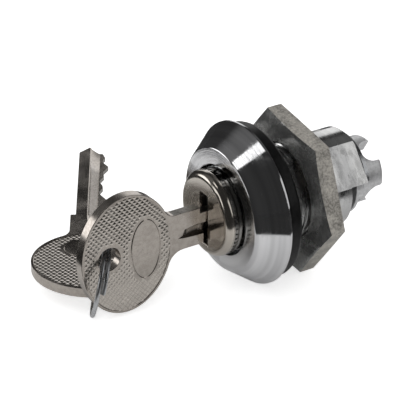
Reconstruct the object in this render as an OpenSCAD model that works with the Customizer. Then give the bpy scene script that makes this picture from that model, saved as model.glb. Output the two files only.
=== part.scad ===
// Push lock for a tool cart, in millimetres.
// X runs along the lock towards the rear, Z is up, and the key enters from -X.
// The origin is on the lock's axis, where the collar meets the cart's panel.
// Clock angles are measured about X, from straight up towards -Y.

/* [Collar] */
// Largest diameter of the conical collar
collar_d = 30.6; // [29:0.1:36]
// Diameter of the collar's flat front face
collar_face_d = 23.2; // [20:0.1:26]
// Length of the collar in front of the panel
collar_len = 5.6; // [5:0.1:9]
// Width of the straight land at the collar's rim
rim_land = 0.5; // [0.2:0.1:1.5]
// Bevel on the edges of the collar
edge_bevel = 0.25; // [0.1:0.05:0.4]
// Diameter of the recess that the cylinder head is pushed into
mouth_d = 16.9; // [16.5:0.1:18]

/* [Barrel] */
// Outside diameter of the threaded barrel
barrel_d = 17.9; // [17.7:0.1:20]
// Distance from the panel face to the barrel's rear end
barrel_len = 21.1; // [20.6:0.1:26]
// How far the stop notch is cut into the barrel's rear end
notch_depth = 3.7; // [3:0.1:4.5]
// Clock angle where the stop notch begins
notch_angle = 78; // [60:1:100]
// Distance from the axis to the flat along the barrel
flat_dist = 7.93; // [7.85:0.01:8.8]
// Clock angle that the flat faces
flat_angle = 51; // [0:1:90]
// Diameter of the bore that guides the cylinder
bore_d = 14.8; // [14.6:0.1:15]
// Diameter of the smaller bore at the rear lip
rear_bore_d = 12.3; // [11.5:0.1:13]
// Length of the rear lip inside the barrel
rear_lip = 0.8; // [0.6:0.1:1.2]

/* [Panel fixings] */
// Diameter of the rubber gasket
gasket_d = 29.1; // [24:0.1:30]
// Thickness of the rubber gasket
gasket_t = 2.8; // [1.5:0.1:4]
// Gap that the nut leaves for the panel
panel_gap = 5.1; // [1:0.1:6]
// Nut size across the flats
nut_af = 27; // [24:0.5:30]
// Thickness of the nut
nut_t = 3.5; // [2.5:0.1:5]
// Clock angle of one corner of the nut
nut_angle = 38.5; // [0:0.5:60]
// Diameter where the chamfer of the nut's corners begins
nut_washer_d = 25.6; // [23:0.2:27]
// Slope of that chamfer
nut_chamfer_angle = 15; // [10:1:30]

/* [Cylinder] */
// Travel of the cylinder when it is pushed in
stroke = 3.4; // [2:0.1:3.6]
// Diameter of the ring that closes the front of the cylinder
flange_d = 16; // [15.2:0.1:16.2]
// Length of that ring
flange_len = 1.4; // [1.2:0.1:2]
// Diameter of the pressed face cap
cap_d = 16.1; // [15.8:0.1:16.4]
// Distance that the face cap stands proud of the collar
cap_proud = 3.4; // [3.4:0.1:4]
// Length of the face cap
cap_len = 1.6; // [1.4:0.1:1.8]
// Sheet thickness of the face cap
cap_wall = 0.5; // [0.4:0.05:0.6]
// Radius of the face cap's rolled edge
cap_roll = 0.8; // [0.5:0.05:0.9]
// Diameter of the plug
plug_d = 12; // [11.8:0.1:12.4]
// Clock angle of the guide groove and its pin
guide_angle = 8; // [0:1:40]
// Diameter of the guide pin
guide_pin_d = 1.6; // [1.2:0.1:2]
// Angle that the key turns through
turn_angle = 90; // [45:5:100]
// Throw of the eccentric that works the latch
latch_throw = 0.45; // [0.3:0.05:0.5]

/* [Wafers] */
// Distance between neighbouring wafers
wafer_pitch = 3.1; // [2.6:0.1:3.1]
// Thickness of each wafer
wafer_t = 1.1; // [0.8:0.1:1.4]
// Width of each wafer
wafer_w = 4.8; // [4.4:0.1:5]

/* [Driver] */
// Width of the crossed slots in the driver
driver_slot_w = 4.4; // [3.6:0.1:4.8]
// Depth of the crossed slots
driver_slot_depth = 3.5; // [2.5:0.1:4]
// Clock angle of the first slot
driver_slot_angle = 32; // [0:1:89]
// Thickness of the driver's plate behind the retaining ring
driver_plate_t = 1.1; // [0.8:0.1:2]
// Width across the flats of the tail that turns the driver
tail_af = 4; // [3:0.1:4.4]
// Thickness of the driver's retaining ring
driver_ring_t = 0.7; // [0.5:0.1:1]

/* [Key] */
// Thickness of the key
key_t = 2.0; // [1.8:0.1:2.1]
// Length of the blade from its shoulder
blade_len = 24; // [22.6:0.1:24.2]
// Height of the blade across its uncut part
blade_h = 6.2; // [5.8:0.1:6.3]
// Distance from the lock's axis up to the blade's back
blade_back = 1.2; // [1.0:0.1:1.4]
// Height of the key's neck
neck_h = 7.4; // [7:0.1:8]
// Length of the neck between shoulder and bow
neck_len = 5.8; // [4:0.1:9]
// Gap between the shoulder and the face cap
shoulder_gap = 1.4; // [0.6:0.1:3]
// Length of the bow along the key
bow_len = 18.8; // [16:0.1:22]
// Width of the bow across the key
bow_w = 23.4; // [20:0.1:26]
// Distance of the bow's centre below the neck's centre
bow_drop = 1.3; // [0:0.1:2]
// Diameter of the hole in the bow
bow_hole_d = 4.6; // [4.5:0.1:5.2]
// Distance of that hole from the centre of the bow
bow_hole_out = 3.7; // [2.5:0.1:5]
// Width of the bow's smooth rim
bow_rim = 0.9; // [0.5:0.1:1.5]
// Depth of the recessed field on each side of the bow
field_depth = 0.15; // [0.05:0.05:0.4]

/* [Key ring] */
// Mean diameter of the split ring
ring_d = 13.35; // [13.2:0.05:13.6]
// Diameter of the ring's wire
ring_wire_d = 0.85; // [0.7:0.05:0.9]

/* [Clearances] */
// Radial clearance of pieces that slide or turn in each other
running = 0.06; // [0.03:0.01:0.09]
// Gap between flat faces that move past each other
face_gap = 0.1; // [0.05:0.01:0.15]
// Clearance between the key and its keyway, on each side
key_gap = 0.12; // [0.08:0.01:0.15]

/* [Hidden] */
$fn = 96;
eps = 0.01;

// Stations along the lock
face_x = -collar_len;
cap_x = face_x - cap_proud;
cap_rear_x = cap_x + cap_len;
flange_x = cap_rear_x + face_gap;
flange_rear_x = flange_x + flange_len;
mouth_floor_x = -0.3;
shoulder_x = cap_x - shoulder_gap;
nut_x = gasket_t + panel_gap;
notch_x = barrel_len - notch_depth;
lip_x = barrel_len - rear_lip;
driver_ring_x = barrel_len + face_gap;
driver_plate_x = driver_ring_x + driver_ring_t + face_gap / 2;
driver_slot_x = driver_plate_x + driver_plate_t;
driver_end_x = driver_slot_x + driver_slot_depth;
keyway_end_x = shoulder_x + blade_len + 0.2;
latch_t = 0.9;
latch_x = keyway_end_x + face_gap / 2;
shell_end_x = latch_x + latch_t + face_gap / 2;
clip_t = 0.6;
clip_x = shell_end_x + face_gap;
clip_head_t = 0.4;
tail_x = clip_x + clip_t + face_gap / 2 + clip_head_t;
driver_flange_t = 0.7;
driver_flange_x = lip_x - face_gap - driver_flange_t;
tail_end_x = driver_flange_x + 2.2;

// Radii
barrel_r = barrel_d / 2;
bore_r = bore_d / 2;
rear_bore_r = rear_bore_d / 2;
mouth_r = mouth_d / 2;
shell_r = bore_r - running;
plug_r = plug_d / 2;
shell_bore_r = plug_r + running;
driver_r = rear_bore_r - running;
driver_flange_r = bore_r - running;
driver_groove_r = driver_r - 0.75;
driver_ring_r = rear_bore_r + 1.9;
thread_fit = 0.08;

// Guide pin and its groove
guide_pin_x = 1.4;
guide_depth = 0.6;
guide_end_x = guide_pin_x + guide_pin_d / 2 + face_gap;

// Stop lug on the driver, in the barrel's notch
lug_w = 28;
lug_play = 1;
notch_w = turn_angle + lug_w + 2 * lug_play;
lug_r = driver_flange_r;
lug_seat = 0.9;

// Eccentric, neck and clip on the plug
eccentric_r = 3;
neck_r = 2.9;
clip_groove_r = 2.4;

// Latch plate
latch_half_w = 4;
latch_window_w = 7.1;
latch_play = 0.13;
latch_window_h = 2 * (eccentric_r + latch_play);
latch_foot = sqrt(shell_r * shell_r - latch_half_w * latch_half_w) - latch_throw - face_gap / 2;

// Side ears of the wafers and the wells for their springs
ear_y = 3.5;
ear_w = 1.7;
ear_h = 1.0;
ear_z = 0;
spring_well_r = 0.7;
spring_floor_z = -3.6;

// Key sections
neck_mid = blade_back + 1.0 - neck_h / 2;
bow_mid = neck_mid - bow_drop;
bow_x = -neck_len - bow_len / 2;
cut_first = 7.4;
cut_heights = [4.7, 4.9, 5.3, 6.0, 5.2];
cut_flat = 0.7;
wafer_count = len(cut_heights);
keyway_top = blade_back + key_gap;
keyway_bottom = blade_back - blade_h - key_gap;
groove_v = blade_back - blade_h / 2 - 0.35;
groove_depth = 0.6;
groove_half = 0.95;
groove_flat = 0.5;
groove_cutter_r = 14;
groove_start = -3.9;

// Slot in the face cap
slot_top = 4.4;
slot_bottom = -5.9;
slot_w = key_t + 2 * key_gap + 0.1;

// Places a shape that is built up Z so that it runs along X from x0
module along_x(x0) {
    translate([x0, 0, 0]) rotate([0, 90, 0]) children();
}

// Turns a shape that faces straight up to a clock angle
module clocked(angle) {
    rotate([angle, 0, 0]) children();
}

// Plain disc or rod on the lock's axis
module rod(r, x0, x1) {
    along_x(x0) cylinder(r = r, h = x1 - x0);
}

// Ring on the lock's axis, all round or over part of a turn
module ring(r0, r1, x0, x1, from = 0, width = 360) {
    clocked(from) along_x(x0)
        rotate_extrude(angle = width, start = 180)
            translate([r0, 0]) square([r1 - r0, x1 - x0]);
}

// Turned shape on the lock's axis, from points given as [x, radius]
module turned(points) {
    along_x(0) rotate_extrude() polygon([for (p = points) [p[1], p[0]]]);
}

// Coil of round wire about Z, that starts at z = 0
module coil(mean_r, wire_r, turns, rise, steps, sides) {
    count = ceil(turns * steps);
    points = [for (i = [0 : count]) for (j = [0 : sides - 1])
        let (a = 360 * turns * i / count, b = 360 * j / sides, r = mean_r + wire_r * cos(b))
        [r * cos(a), r * sin(a), rise * i / count + wire_r * sin(b)]];
    walls = [for (i = [0 : count - 1]) for (j = [0 : sides - 1])
        let (k = (j + 1) % sides)
        [i * sides + j, i * sides + k, (i + 1) * sides + k, (i + 1) * sides + j]];
    start_cap = [for (j = [0 : sides - 1]) sides - 1 - j];
    end_cap = [for (j = [0 : sides - 1]) count * sides + j];
    polyhedron(points = points, faces = concat([start_cap], walls, [end_cap]));
}

// Conical collar and barrel in one piece, bored through from the front
module housing() {
    slope = (collar_d - collar_face_d) / 2 / (collar_len - rim_land);
    color("gainsboro") difference() {
        turned([
            [face_x, mouth_r + edge_bevel],
            [face_x, collar_face_d / 2 - edge_bevel],
            [face_x + edge_bevel, collar_face_d / 2 + edge_bevel * slope],
            [-rim_land, collar_d / 2],
            [-edge_bevel / 2, collar_d / 2],
            [0, collar_d / 2 - edge_bevel / 2],
            [0, barrel_r],
            [barrel_len - edge_bevel, barrel_r],
            [barrel_len, barrel_r - edge_bevel],
            [barrel_len, rear_bore_r],
            [lip_x, rear_bore_r],
            [lip_x, bore_r],
            [mouth_floor_x, bore_r],
            [mouth_floor_x, mouth_r],
            [face_x + edge_bevel, mouth_r]
        ]);
        clocked(flat_angle) translate([0, -barrel_d / 2, flat_dist])
            cube([barrel_len + 1, barrel_d, barrel_d]);
        ring(rear_bore_r - 1, barrel_r + 1, notch_x, barrel_len + 1, notch_angle, notch_w);
        clocked(guide_angle) translate([guide_pin_x, 0, 0])
            cylinder(d = guide_pin_d, h = barrel_r + 1);
        latch_pocket();
    }
}

// Pocket in the bore that the latch drops into when the lock is pushed in
module latch_pocket() {
    intersection() {
        translate([latch_x + stroke - 0.4, -latch_half_w - 0.3, bore_r - 1.5])
            cube([latch_t + 0.8, 2 * latch_half_w + 0.6, 4]);
        rod(bore_r + 0.6, latch_x + stroke - 1, latch_x + stroke + latch_t + 1);
    }
}

// Rubber gasket with softened edges
module panel_gasket() {
    edge = min(0.6, gasket_t / 3);
    r1 = gasket_d / 2;
    color("dimgray") turned([
        [0, barrel_r + thread_fit],
        [0, r1 - edge],
        [edge * 0.3, r1 - edge * 0.3],
        [edge, r1],
        [gasket_t - edge, r1],
        [gasket_t - edge * 0.3, r1 - edge * 0.3],
        [gasket_t, r1 - edge],
        [gasket_t, barrel_r + thread_fit]
    ]);
}

// Thin hexagon nut, chamfered on both faces
module panel_nut() {
    corner_r = nut_af / 2 / cos(30);
    outer_r = corner_r + 1;
    chamfer = (outer_r - nut_washer_d / 2) * tan(nut_chamfer_angle);
    color("darkgray") difference() {
        intersection() {
            clocked(nut_angle) along_x(nut_x) cylinder(r = corner_r, h = nut_t, $fn = 6);
            turned([
                [nut_x, 0],
                [nut_x, nut_washer_d / 2],
                [nut_x + chamfer, outer_r],
                [nut_x + nut_t - chamfer, outer_r],
                [nut_x + nut_t, nut_washer_d / 2],
                [nut_x + nut_t, 0]
            ]);
        }
        rod(barrel_r + thread_fit, nut_x - 1, nut_x + nut_t + 1);
        for (end = [0, 1])
            along_x(nut_x + end * nut_t) rotate([end * 180, 0, 0]) translate([0, 0, -eps])
                cylinder(r1 = barrel_r + 0.6, r2 = barrel_r, h = 0.6);
    }
}

// Dowel through the barrel, that guides the cylinder and stops it at the front
module guide_pin() {
    color("silver") clocked(guide_angle)
        translate([guide_pin_x, 0, shell_r - guide_depth + face_gap])
            cylinder(d = guide_pin_d - 0.02, h = barrel_r - 0.1 - shell_r + guide_depth - face_gap);
}

// Snap ring that holds the driver in the barrel, open where the barrel is notched
module driver_ring() {
    color("whitesmoke")
        ring(driver_groove_r + face_gap / 2, driver_ring_r, driver_ring_x, driver_ring_x + driver_ring_t,
             notch_angle + notch_w, 360 - notch_w);
}

// Dog that the cart's lock bar fits on, with crossed slots, three lugs and a seat for the stop
module driver() {
    round_r = 0.9;
    mid = (lip_x + driver_flange_x) / 2;
    color("slategray") difference() {
        union() {
            rod(driver_flange_r, driver_flange_x, lip_x - face_gap);
            rod(driver_r, mid, driver_end_x - round_r);
            along_x(driver_end_x - round_r) rounded_end(driver_r, round_r);
        }
        ring(driver_r - lug_seat, lug_r + 1, driver_flange_x - 1, barrel_len - face_gap,
             notch_angle + lug_play - 0.2, lug_w + 0.4);
        ring(driver_groove_r, driver_r + 1, driver_ring_x - face_gap / 2,
             driver_ring_x + driver_ring_t + face_gap / 2);
        for (side = [0, 90]) clocked(driver_slot_angle + side) cross_slot();
        ring(tail_af / 2, driver_r + 1, driver_slot_x + 1.2, driver_end_x + 1,
             driver_slot_angle + 90, 90);
        square_bar(tail_af + 2 * running + 0.1, driver_flange_x - 1, driver_end_x + 1);
    }
}

// Block seated in the driver, that stops its turn at both ends of the barrel's notch
module stop_block() {
    color("slategray")
        ring(driver_r - lug_seat + 0.02, lug_r, driver_flange_x, barrel_len - face_gap - 0.02,
             notch_angle + lug_play, lug_w);
}

// End of a rod with a rounded edge
module rounded_end(r, edge) {
    rotate_extrude() {
        square([r - edge, edge]);
        translate([r - edge, 0]) intersection() {
            circle(r = edge);
            square(edge);
        }
    }
}

// Slot across the driver's end, with a round floor
module cross_slot() {
    floor_r = driver_slot_w / 2;
    translate([driver_slot_x + floor_r, 0, -driver_r - 1]) cylinder(r = floor_r, h = 2 * driver_r + 2);
    translate([driver_slot_x + floor_r, -floor_r, -driver_r - 1])
        cube([driver_slot_depth, driver_slot_w, 2 * driver_r + 2]);
}

// Square bar on the lock's axis
module square_bar(af, x0, x1) {
    translate([x0, -af / 2, -af / 2]) cube([x1 - x0, af, af]);
}

// Sliding cylinder with its ribbed front ring and guide groove
module cylinder_shell() {
    groove_w = guide_pin_d + 2 * face_gap;
    color("silver") difference() {
        union() {
            rod(shell_r, flange_x + face_gap, shell_end_x);
            clocked(guide_angle) front_ring();
        }
        rod(shell_bore_r, flange_x - 1, shell_end_x + 1);
        clocked(guide_angle) translate([flange_x - 1, -groove_w / 2, shell_r - guide_depth])
            cube([guide_end_x - flange_x + 1, groove_w, guide_depth + 2]);
        translate([latch_x - face_gap / 2, -latch_half_w - face_gap, -shell_r - 1])
            cube([latch_t + 4, 2 * (latch_half_w + face_gap), 2 * shell_r + 2]);
    }
}

// Front ring with ribs and a bead, open where the guide groove runs out
module front_ring() {
    r = flange_d / 2;
    notch_half = 13;
    rib_count = 44;
    rib_h = 0.25;
    rib_len = flange_len / 2 - 0.1;
    open_w = 360 - 2 * notch_half;
    ring(shell_bore_r - 0.5, r - rib_h, flange_x, flange_rear_x, notch_half, open_w);
    ring(shell_r - 0.3, r, flange_x + rib_len + 0.2, flange_rear_x, notch_half, open_w);
    for (i = [0 : rib_count - 1])
        clocked(notch_half + 2 + i * (open_w - 4) / (rib_count - 1))
            translate([flange_x, -0.2, r - 0.6]) cube([rib_len, 0.4, 0.55]);
}

// Return spring behind the front ring
module return_spring() {
    wire_r = 0.25;
    length = mouth_floor_x - flange_rear_x - 2 * wire_r - 2 * face_gap;
    color("lightgray") along_x(flange_rear_x + wire_r + face_gap)
        coil((mouth_r + shell_r) / 2, wire_r, 3, length, 30, 8);
}

// Plate round the eccentric, that locks the cylinder when it is pushed in
module latch_plate() {
    color("darkkhaki") difference() {
        intersection() {
            translate([latch_x, -latch_half_w, -latch_foot]) cube([latch_t, 2 * latch_half_w, 3 * shell_r]);
            rod(shell_r, latch_x, latch_x + latch_t);
        }
        translate([latch_x - 1, -latch_window_w / 2, latch_throw - latch_window_h / 2])
            cube([latch_t + 2, latch_window_w, latch_window_h]);
    }
}

// Plug that the key turns, with its keyway, wafer slots, eccentric and square tail
module plug() {
    color("darkgray") difference() {
        union() {
            rod(cap_d / 2 - cap_wall - 0.02, cap_x + cap_wall, cap_rear_x);
            rod(plug_r, cap_rear_x - eps, keyway_end_x);
            translate([0, 0, latch_throw]) rod(eccentric_r, keyway_end_x - eps, shell_end_x);
            rod(neck_r, shell_end_x - eps, tail_x);
            square_bar(tail_af, tail_x - eps, tail_end_x);
        }
        keyway(cap_x - 1, keyway_end_x - 0.1);
        translate([cap_x - 1, -slot_w / 2, slot_bottom]) cube([1 + cap_wall + 0.7, slot_w, slot_top - slot_bottom]);
        for (i = [0 : wafer_count - 1]) wafer_slot(i);
        ring(clip_groove_r, neck_r + 1, shell_end_x, clip_x + clip_t + face_gap / 2);
    }
}

// Keyway with the ward that fits the key's groove
module keyway(x0, x1) {
    half = key_t / 2 + key_gap;
    difference() {
        translate([x0, -half, keyway_bottom]) cube([x1 - x0, 2 * half, keyway_top - keyway_bottom]);
        translate([cap_x + cap_len, 0, 0]) rotate([90, 0, 90]) linear_extrude(height = x1 - cap_x)
            polygon([
                [-half - eps, groove_v - groove_half + key_gap],
                [-half + groove_depth - key_gap, groove_v - groove_flat + key_gap],
                [-half + groove_depth - key_gap, groove_v + groove_flat - key_gap],
                [-half - eps, groove_v + groove_half - key_gap]
            ]);
    }
}

// Slot through the plug for one wafer, with a well for its spring
module wafer_slot(i) {
    w = wafer_w + 2 * face_gap;
    t = wafer_t + 2 * face_gap;
    translate([wafer_x(i) - t / 2, -w / 2, -plug_r - 1]) cube([t, w, 2 * plug_r + 2]);
    translate([wafer_x(i) - t / 2, 0, ear_z - ear_h / 2 - face_gap])
        cube([t, ear_y + ear_w / 2 + face_gap, ear_h + 2 * face_gap + 0.6]);
    translate([wafer_x(i), ear_y, spring_floor_z])
        cylinder(r = spring_well_r, h = ear_z - spring_floor_z);
}

// Pressed cap with a rolled edge, that covers the plug's head
module face_cap() {
    r = cap_d / 2;
    color("tan") difference() {
        along_x(cap_x) rotate_extrude() {
            difference() {
                union() {
                    translate([0, cap_roll]) square([r, cap_len - cap_roll]);
                    square([r - cap_roll, cap_len]);
                    translate([r - cap_roll, cap_roll]) circle(r = cap_roll);
                }
                translate([0, cap_wall]) square([r - cap_wall, cap_len]);
                translate([-1, -1]) square([1, cap_len + 2]);
            }
        }
        translate([cap_x - 1, -slot_w / 2, slot_bottom]) cube([cap_len + 2, slot_w, slot_top - slot_bottom]);
    }
}

// Clip that keeps the plug in the shell
module plug_clip() {
    mouth_w = 2 * clip_groove_r - 0.2;
    color("whitesmoke") difference() {
        rod(shell_r - 0.4, clip_x, clip_x + clip_t);
        rod(clip_groove_r + face_gap / 2, clip_x - 1, clip_x + clip_t + 1);
        translate([clip_x - 1, -mouth_w / 2, 0]) cube([clip_t + 2, mouth_w, shell_r + 1]);
    }
}

// Plate wafer with the key's window and a side ear for its spring
module wafer(i) {
    reach = plug_r - face_gap;
    color("goldenrod") difference() {
        union() {
            intersection() {
                translate([wafer_x(i) - wafer_t / 2, -wafer_w / 2, -plug_r]) cube([wafer_t, wafer_w, 2 * plug_r]);
                rod(reach, wafer_x(i) - wafer_t, wafer_x(i) + wafer_t);
            }
            translate([wafer_x(i) - wafer_t / 2, wafer_w / 2 - eps, ear_z - ear_h / 2])
                cube([wafer_t, ear_y + ear_w / 2 - wafer_w / 2 + eps, ear_h]);
        }
        translate([wafer_x(i) - wafer_t, -key_t / 2 - 0.2, keyway_bottom])
            cube([2 * wafer_t, key_t + 0.4, keyway_top - keyway_bottom]);
    }
}

// One small spring under the ear of each wafer
module wafer_springs() {
    wire_r = 0.12;
    rise = ear_z - ear_h / 2 - spring_floor_z - 2 * wire_r - face_gap;
    color("silver") for (i = [0 : wafer_count - 1])
        translate([wafer_x(i), ear_y, spring_floor_z + wire_r + face_gap / 2])
            coil(spring_well_r - wire_r - face_gap, wire_r, 5, rise, 10, 5);
}

// Outline of the bow as an oval about its own centre
module bow_outline(inset) {
    a = bow_len / 2 - inset;
    b = bow_w / 2 - inset;
    polygon([for (t = [0 : 4 : 356]) [a * cos(t), b * sin(t)]]);
}

// Flat outline of the whole key, with the shoulder at u = 0 and the tip at +u
module key_outline() {
    fillet = 2.2;
    tip_back = 2.0;
    tip_drop = 1.9;
    tip_low = 3.2;
    union() {
        translate([bow_x, bow_mid]) bow_outline(0);
        difference() {
            translate([bow_x, neck_mid - neck_h / 2]) square([-bow_x, neck_h]);
            translate([bow_x, bow_mid]) bow_outline(1);
        }
        neck_fillets(fillet);
        difference() {
            translate([-1, blade_back - blade_h]) square([blade_len + 1, blade_h]);
            for (i = [0 : wafer_count - 1]) key_cut(i);
            polygon([
                [blade_len - tip_drop, blade_back + eps],
                [blade_len + eps, blade_back + eps],
                [blade_len + eps, blade_back - tip_back]
            ]);
            polygon([
                [blade_len - tip_low, blade_back - blade_h - eps],
                [blade_len - tip_low, blade_back - blade_h + 1.0],
                [blade_len + eps, blade_back - tip_back],
                [blade_len + eps, blade_back - blade_h - eps]
            ]);
        }
    }
}

// One cut in the blade's lower edge
module key_cut(i) {
    depth = blade_h - cut_heights[i];
    low = blade_back - blade_h;
    u = cut_first + i * wafer_pitch;
    polygon([
        [u - cut_flat / 2 - depth - 0.2, low - 0.2],
        [u - cut_flat / 2, low + depth],
        [u + cut_flat / 2, low + depth],
        [u + cut_flat / 2 + depth + 0.2, low - 0.2]
    ]);
}

// Hollow fillets where the neck meets the bow
module neck_fillets(r) {
    for (side = [1, -1]) {
        v = neck_mid + side * neck_h / 2;
        rise = side * (v - bow_mid);
        b = bow_w / 2;
        reach = bow_len / 2 * sqrt(1 - pow(min(0.98, (rise + r * 0.8) / b), 2));
        difference() {
            translate([bow_x + reach, side > 0 ? v - eps : v - r * 0.8 + eps])
                square([neck_x_end(rise) - reach + r, r * 0.8]);
            translate([bow_x + neck_x_end(rise) + r, v + side * r]) circle(r = r);
        }
    }
}

// Whole key, built flat with its groove on top
module key_blank() {
    difference() {
        translate([0, 0, -key_t / 2]) linear_extrude(height = key_t) key_outline();
        for (side = [0, 1]) translate([0, 0, side * (key_t - field_depth) - key_t / 2 - (1 - side)])
            linear_extrude(height = field_depth + 1) bow_field();
        translate([bow_x - bow_hole_out, bow_mid, -key_t]) cylinder(d = bow_hole_d, h = 2 * key_t);
        mirror([0, 0, 1]) key_groove();
    }
}

// Recessed field of the bow, round its raised oval and hole boss
module bow_field() {
    oval_a = 2.9;
    oval_b = 6.0;
    oval_u = bow_x + 4.4;
    boss = bow_hole_d / 2 + 1.0;
    difference() {
        translate([bow_x, bow_mid]) bow_outline(bow_rim);
        translate([oval_u, bow_mid])
            polygon([for (t = [0 : 6 : 354]) [oval_a * cos(t), oval_b * sin(t)]]);
        translate([bow_x - bow_hole_out, bow_mid]) circle(r = boss);
        translate([-neck_len - 1.4, neck_mid - neck_h / 2]) square([4, neck_h]);
    }
}

// Milled groove along the blade, which runs out on the neck
module key_groove() {
    w0 = -key_t / 2;
    translate([groove_start, 0, 0]) rotate([90, 0, 90]) linear_extrude(height = blade_len - groove_start + 1)
        polygon([
            [groove_v - groove_half - eps, w0 - eps],
            [groove_v - groove_flat, w0 + groove_depth],
            [groove_v + groove_flat, w0 + groove_depth],
            [groove_v + groove_half + eps, w0 - eps]
        ]);
    translate([groove_start, groove_v, w0 + groove_depth - groove_cutter_r]) rotate([90, 0, 0])
        rotate_extrude() polygon([
            [0, -groove_half],
            [groove_cutter_r - groove_depth, -groove_half],
            [groove_cutter_r, -groove_flat],
            [groove_cutter_r, groove_flat],
            [groove_cutter_r - groove_depth, groove_half],
            [0, groove_half]
        ]);
}

// Key in the lock, with its teeth down
module key() {
    color("rosybrown") translate([shoulder_x, 0, 0]) rotate([90, 0, 0]) key_blank();
}

// Split ring of two touching turns
module key_ring() {
    pitch = ring_wire_d + face_gap / 2;
    turns = 1.95;
    color("slategray") translate(ring_at) rotate([0, ring_lean, ring_turn])
        translate([0, 0, -turns * pitch / 2]) coil(ring_r, ring_wire_d / 2, turns, turns * pitch, 48, 10);
}

// Spare key, hung on the ring beside the lock with its tip a little up
module spare_key() {
    color("gray") translate(spare_at) rotate([0, spare_tip, spare_turn])
        translate([bow_hole_out - bow_x, -bow_mid, 0]) key_blank();
}

// Ring and spare key, hung from the hole in the front key
ring_r = ring_d / 2;
front_hole = [shoulder_x + bow_x - bow_hole_out, 0, bow_mid];
ring_at = front_hole + [-0.07, 0, 0.85] + ring_r * [-0.022, 0.355, -0.934];
ring_turn = 147.6;
ring_lean = 77.4;
spare_at = ring_at + ring_r * [0.377, 0.793, -0.479] + [-0.15, 0.5, 0.35];
spare_turn = 58;
spare_tip = -4.3;

function wafer_x(i) = shoulder_x + cut_first + i * wafer_pitch;
function neck_x_end(rise) = bow_len / 2 * sqrt(1 - pow(rise / (bow_w / 2), 2));

housing();
panel_gasket();
panel_nut();
guide_pin();
driver_ring();
driver();
stop_block();
cylinder_shell();
return_spring();
latch_plate();
plug();
face_cap();
plug_clip();
wafer(0);  // wafer_1
wafer(1);  // wafer_2
wafer(2);  // wafer_3
wafer(3);  // wafer_4
wafer(4);  // wafer_5
wafer_springs();
key();
key_ring();
spare_key();
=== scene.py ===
"""Push lock for a tool cart: its dressed pieces, a plain studio and the camera."""

from __future__ import annotations

import logging
import math
from contextlib import contextmanager
from dataclasses import dataclass, field
from enum import Enum
from typing import Callable, Iterator, Sequence

import bmesh
import bpy
from mathutils import Matrix, Vector

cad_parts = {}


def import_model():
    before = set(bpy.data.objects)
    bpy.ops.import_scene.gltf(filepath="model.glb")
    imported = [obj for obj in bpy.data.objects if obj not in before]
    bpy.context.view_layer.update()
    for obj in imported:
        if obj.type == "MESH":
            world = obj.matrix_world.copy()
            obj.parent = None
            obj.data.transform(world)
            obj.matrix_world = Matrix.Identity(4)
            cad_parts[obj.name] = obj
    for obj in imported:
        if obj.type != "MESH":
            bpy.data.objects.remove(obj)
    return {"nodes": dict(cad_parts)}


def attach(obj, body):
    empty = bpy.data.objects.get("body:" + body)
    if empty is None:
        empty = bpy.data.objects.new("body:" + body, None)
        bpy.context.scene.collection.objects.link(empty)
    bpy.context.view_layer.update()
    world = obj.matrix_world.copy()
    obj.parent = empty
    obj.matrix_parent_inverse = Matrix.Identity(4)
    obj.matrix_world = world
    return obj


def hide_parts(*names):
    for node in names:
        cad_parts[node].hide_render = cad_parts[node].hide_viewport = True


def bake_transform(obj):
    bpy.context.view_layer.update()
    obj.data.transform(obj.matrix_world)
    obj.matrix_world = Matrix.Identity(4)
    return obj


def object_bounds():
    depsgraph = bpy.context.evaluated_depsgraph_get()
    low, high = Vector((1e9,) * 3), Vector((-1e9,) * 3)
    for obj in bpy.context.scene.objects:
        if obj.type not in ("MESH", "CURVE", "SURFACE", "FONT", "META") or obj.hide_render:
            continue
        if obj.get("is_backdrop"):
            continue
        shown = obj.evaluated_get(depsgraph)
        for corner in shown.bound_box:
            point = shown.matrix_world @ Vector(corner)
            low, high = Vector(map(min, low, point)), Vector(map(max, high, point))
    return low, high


LOG = logging.getLogger("push_lock")
MM = 0.001
WELD = 1e-6
Pair = tuple[float, float]
Point = tuple[float, float, float]
Piece = bpy.types.Object
Node = bpy.types.Node
Socket = bpy.types.NodeSocket
FaceTest = Callable[[bmesh.types.BMFace], bool]


class Cut(Enum):
    """How one solid is combined with another."""

    AWAY = "DIFFERENCE"
    COMMON = "INTERSECT"


def mm(*values: float) -> Vector:
    """Return a vector in metres from values in millimetres."""
    return Vector(values) * MM


def shift(x: float, y: float, z: float) -> Matrix:
    """Return a move by a distance in millimetres."""
    return Matrix.Translation(mm(x, y, z))


def turn(degrees: float, axis: str) -> Matrix:
    """Return a turn about the X, Y or Z axis."""
    return Matrix.Rotation(math.radians(degrees), 4, axis)


def deselect() -> None:
    """Leave nothing selected and nothing active."""
    for piece in bpy.context.selected_objects:
        piece.select_set(False)
    bpy.context.view_layer.objects.active = None


def pick(piece: Piece) -> None:
    """Make one piece the only selected and active one."""
    deselect()
    piece.select_set(True)
    bpy.context.view_layer.objects.active = piece


@contextmanager
def editing(piece: Piece, select: bool = True) -> Iterator[Piece]:
    """Work on a piece in edit mode.

    Args:
        piece: The piece to edit.
        select: Whether all of it starts selected.
    """
    pick(piece)
    bpy.ops.object.mode_set(mode="EDIT")
    bpy.ops.mesh.select_mode(type="VERT")
    bpy.ops.mesh.select_all(action="SELECT" if select else "DESELECT")
    try:
        yield piece
    finally:
        bpy.ops.object.mode_set(mode="OBJECT")


def select_faces(piece: Piece, wanted: FaceTest) -> None:
    """Select the faces of a piece in edit mode that pass a test.

    Args:
        piece: The piece, already in edit mode.
        wanted: The test on each face.
    """
    mesh = bmesh.from_edit_mesh(piece.data)
    bpy.ops.mesh.select_mode(type="FACE")
    for face in mesh.faces:
        face.select_set(wanted(face))
    mesh.select_flush_mode()
    bmesh.update_edit_mesh(piece.data)


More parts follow.
